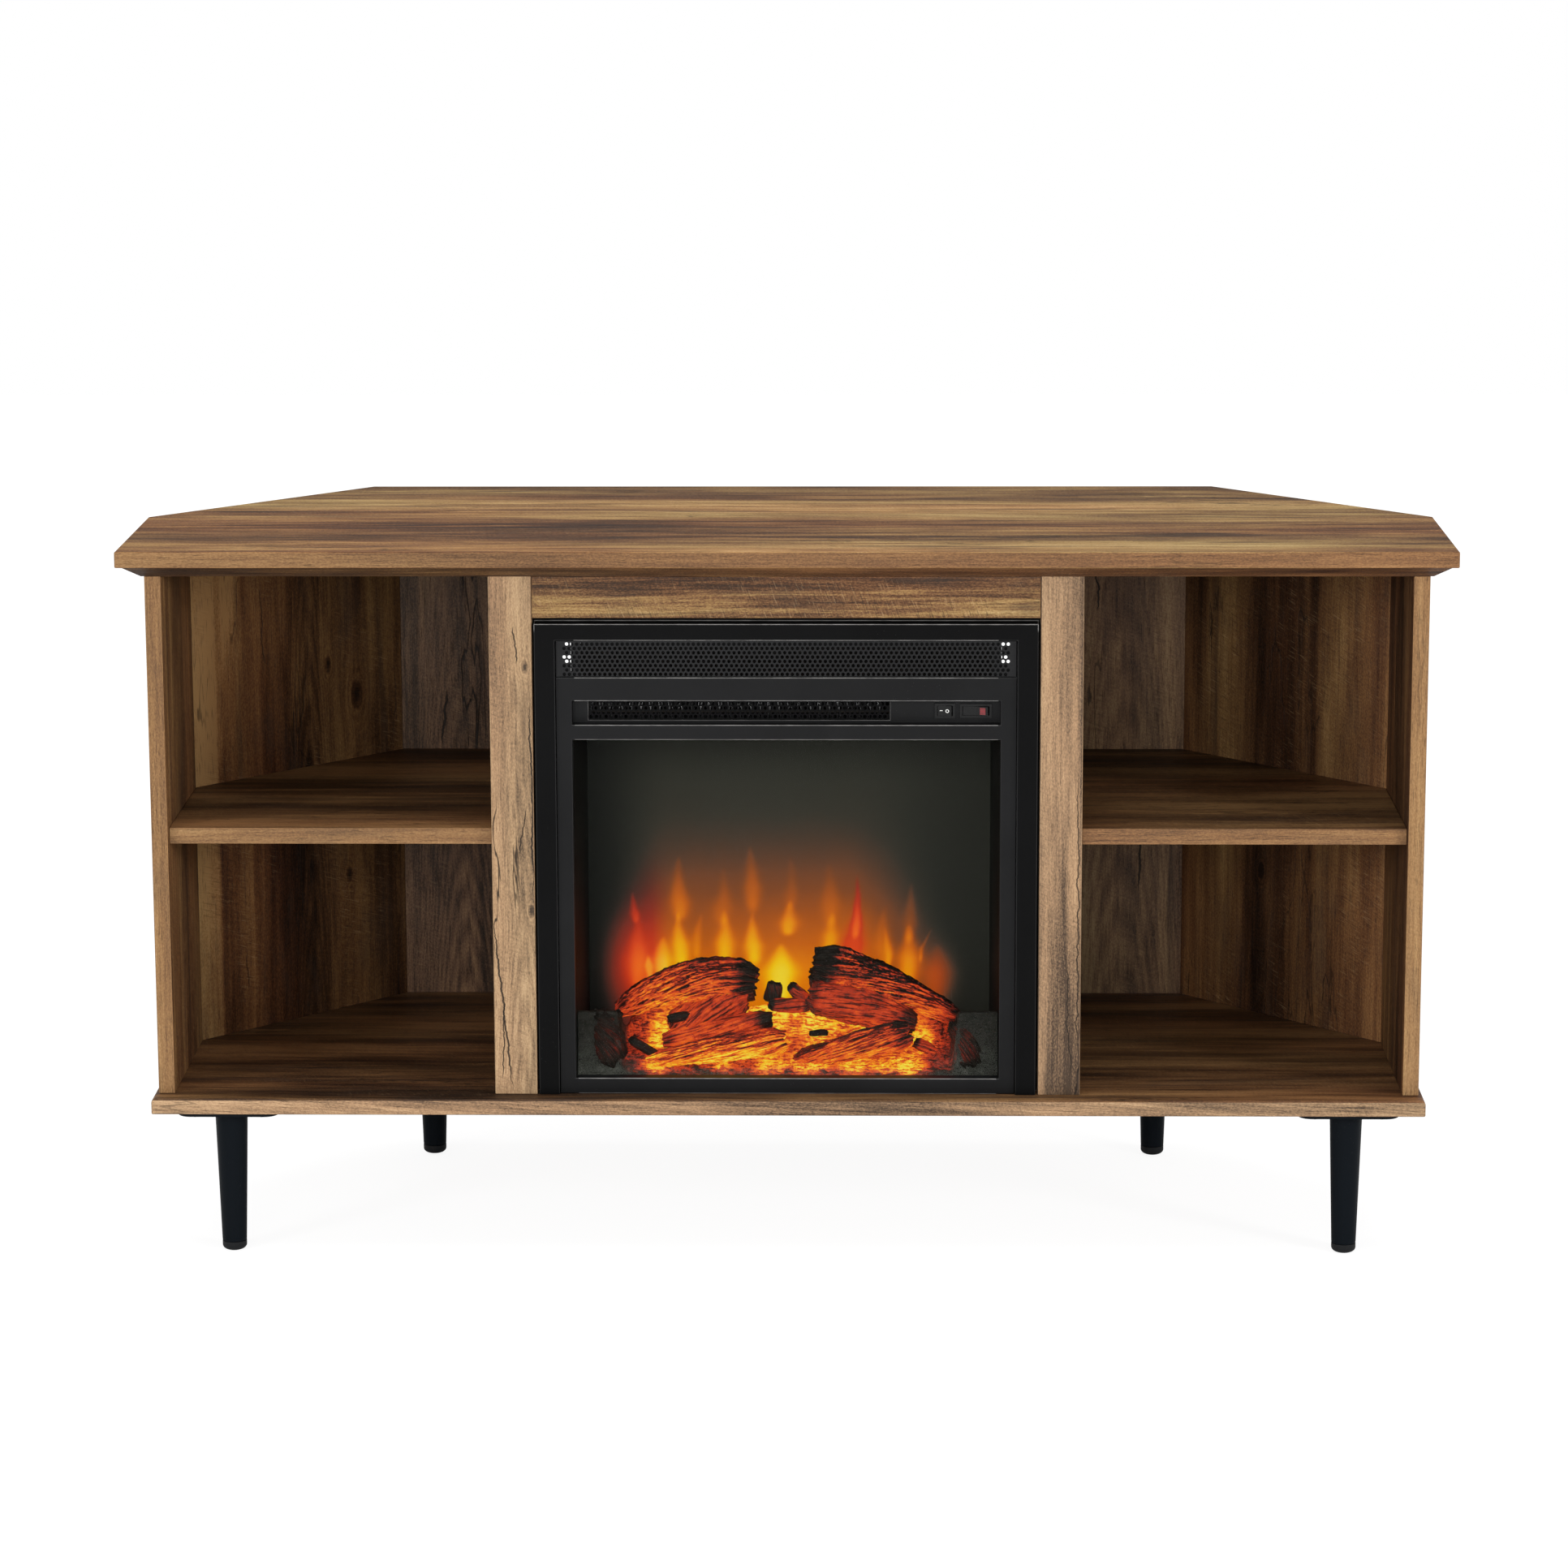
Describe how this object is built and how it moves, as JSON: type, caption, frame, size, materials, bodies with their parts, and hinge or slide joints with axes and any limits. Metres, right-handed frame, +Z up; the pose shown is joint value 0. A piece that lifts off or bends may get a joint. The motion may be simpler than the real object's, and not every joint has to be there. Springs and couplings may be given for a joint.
{
  "type": "fireplace tv stand",
  "caption": "Corner television stand of wood-look boards on tapered black legs, with open shelf bays at both sides and an electric fireplace insert in the middle.",
  "frame": {"origin": "on the floor, under the middle of the top", "axes": "+X along the top to the right as seen from the front, +Y from the front to the back, +Z up"},
  "size_m": [1.219, 0.4, 0.67],
  "materials": {
    "oak": "printed rustic oak grain, satin",
    "oak_light": "printed light oak grain, satin",
    "oak_dark": "printed dark oak grain, satin",
    "black_sheet": "matte black powder coat",
    "leg_black": "satin blue-black",
    "black_plastic": "moulded black",
    "smoked_glass": "clear tempered glass with a faint smoke tint",
    "screen": "dark translucent flame screen",
    "char": "moulded resin, charred log",
    "ember": "moulded translucent resin, lit from below",
    "bare_steel": "bare zinc-coated sheet",
    "bare_aluminium": "bare",
    "circuit_board": "white board with light chips"
  },
  "bodies": {
    "stand": {"top_panel": "oak", "top_moulding": "oak", "bottom_panel": "oak", "header_rail": "oak", "side_panel_left": "oak", "side_panel_right": "oak", "stile_left": "oak_light", "stile_right": "oak_light", "diagonal_panel_left": "oak_dark", "diagonal_panel_right": "oak_dark", "back_panel_left": "oak_dark", "back_panel_right": "oak_dark", "divider_left": "oak_dark", "divider_right": "oak_dark", "shelf_left": "oak_dark", "shelf_right": "oak_dark", "rear_brace": "oak_dark", "leg_plate_front_left": "leg_black", "leg_plate_front_right": "leg_black", "leg_plate_rear_left": "leg_black", "leg_plate_rear_right": "leg_black", "leg_front_left": "leg_black", "leg_front_right": "leg_black", "leg_rear_left": "leg_black", "leg_rear_right": "leg_black", "foot_cap_front_left": "black_plastic", "foot_cap_front_right": "black_plastic", "foot_cap_rear_left": "black_plastic", "foot_cap_rear_right": "black_plastic", "trim_frame": "black_sheet", "vent_grille": "black_sheet", "front_bezel": "black_sheet", "glass_pane": "smoked_glass", "control_fascia": "black_sheet", "outlet_grille": "black_plastic", "power_switch": "black_plastic", "heat_switch": "black_plastic", "casing": "black_sheet", "rear_cover": "black_sheet", "cord_gland": "black_plastic", "insert_bracket_left": "bare_steel", "insert_bracket_right": "bare_steel", "firebox_liner": "black_sheet", "flame_screen": "screen", "ember_bed": "ember", "log_left": "char", "log_right": "char", "log_front_left": "char", "log_front_right": "char", "spindle_motor": "bare_steel", "spindle_bearing": "black_plastic", "led_strip": "circuit_board", "blower_housing": "bare_steel", "blower_motor": "bare_steel", "heating_element": "bare_aluminium"},
    "power_rocker": {"power_rocker": "black_plastic"},
    "heat_rocker": {"heat_rocker": "black_plastic"},
    "flame_spindle": {"flame_spindle": "bare_aluminium"},
    "blower_fan": {"blower_fan": "black_plastic"}
  },
  "joints": [
    {"name": "power_rocker_tilt", "type": "hinge", "parent": "stand", "child": "power_rocker", "pos_m": [0.1456, -0.1642, 0.51665], "axis": [0, 0, 1], "range_deg": [0, 18]},
    {"name": "heat_rocker_tilt", "type": "hinge", "parent": "stand", "child": "heat_rocker", "pos_m": [0.174, -0.1642, 0.51665], "axis": [0, 0, 1], "range_deg": [0, 18]},
    {"name": "flame_spindle_turn", "type": "hinge", "parent": "stand", "child": "flame_spindle", "pos_m": [0, -0.024, 0.2173], "axis": [1, 0, 0], "continuous": true},
    {"name": "blower_fan_turn", "type": "hinge", "parent": "stand", "child": "blower_fan", "pos_m": [0, -0.0717, 0.5168], "axis": [1, 0, 0], "continuous": true}
  ]
}
